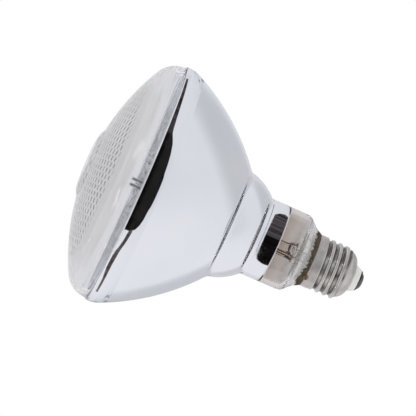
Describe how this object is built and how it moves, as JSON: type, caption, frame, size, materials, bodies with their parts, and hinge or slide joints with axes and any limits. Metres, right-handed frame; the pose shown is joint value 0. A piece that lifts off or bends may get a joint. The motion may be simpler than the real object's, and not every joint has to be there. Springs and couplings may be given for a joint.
{
  "type": "mercury vapor reptile bulb",
  "caption": "Mercury vapor flood bulb for a reptile enclosure: mirrored glass reflector with a stippled lens, clear neck and an E27 screw cap.",
  "frame": {"origin": "centre of the lens boss face, the lowest point, in its hanging position with the lens down", "axes": "+Z is the bulb's axis, from the lens towards the screw cap; -Y is the side with the lens index ribs"},
  "size_m": [0.1208, 0.1208, 0.1443],
  "materials": {
    "lens_glass": "clear pressed glass, stippled inside",
    "bulb_glass": "clear pressed glass",
    "mirror_aluminium": "evaporated aluminium mirror",
    "cap_nickel": "nickelled brass, satin, lightly scuffed",
    "insulator_ceramic": "pale glazed insulator",
    "contact_brass": "darkened brass",
    "solder": "dull grey solder",
    "cement": "dark brown basing cement, rough",
    "stem_glass": "clear lead glass",
    "copper_wire": "copper-clad wire",
    "nickel_wire": "nickel wire",
    "quartz": "clear fused quartz",
    "tungsten": "drawn tungsten",
    "molybdenum": "molybdenum",
    "strap_steel": "nickelled steel strip",
    "resistor_ceramic": "fired ceramic body",
    "mercury": "liquid mercury"
  },
  "bodies": {
    "root": {"front_lens": "lens_glass", "reflector_bulb": "bulb_glass", "mirror_coating": "mirror_aluminium", "cap_shell": "cap_nickel", "cap_insulator": "insulator_ceramic", "contact_plate": "contact_brass", "contact_solder": "solder", "basing_cement": "cement", "side_solder": "solder", "stem": "stem_glass", "centre_seal": "copper_wire", "side_seal": "copper_wire", "exhaust_tube": "stem_glass", "centre_lead": "nickel_wire", "side_lead": "copper_wire", "arc_tube": "quartz", "front_electrode": "tungsten", "rear_electrode": "tungsten", "starting_electrode": "tungsten", "seal_foils": "molybdenum", "front_arc_lead": "molybdenum", "rear_arc_lead": "molybdenum", "probe_lead": "molybdenum", "mercury_drop": "mercury", "long_frame_rod": "nickel_wire", "short_frame_rod": "nickel_wire", "front_strap": "strap_steel", "rear_strap": "strap_steel", "ballast_filament": "tungsten", "filament_bead": "stem_glass", "filament_hook": "molybdenum", "starting_resistor": "resistor_ceramic"}
  },
  "joints": []
}
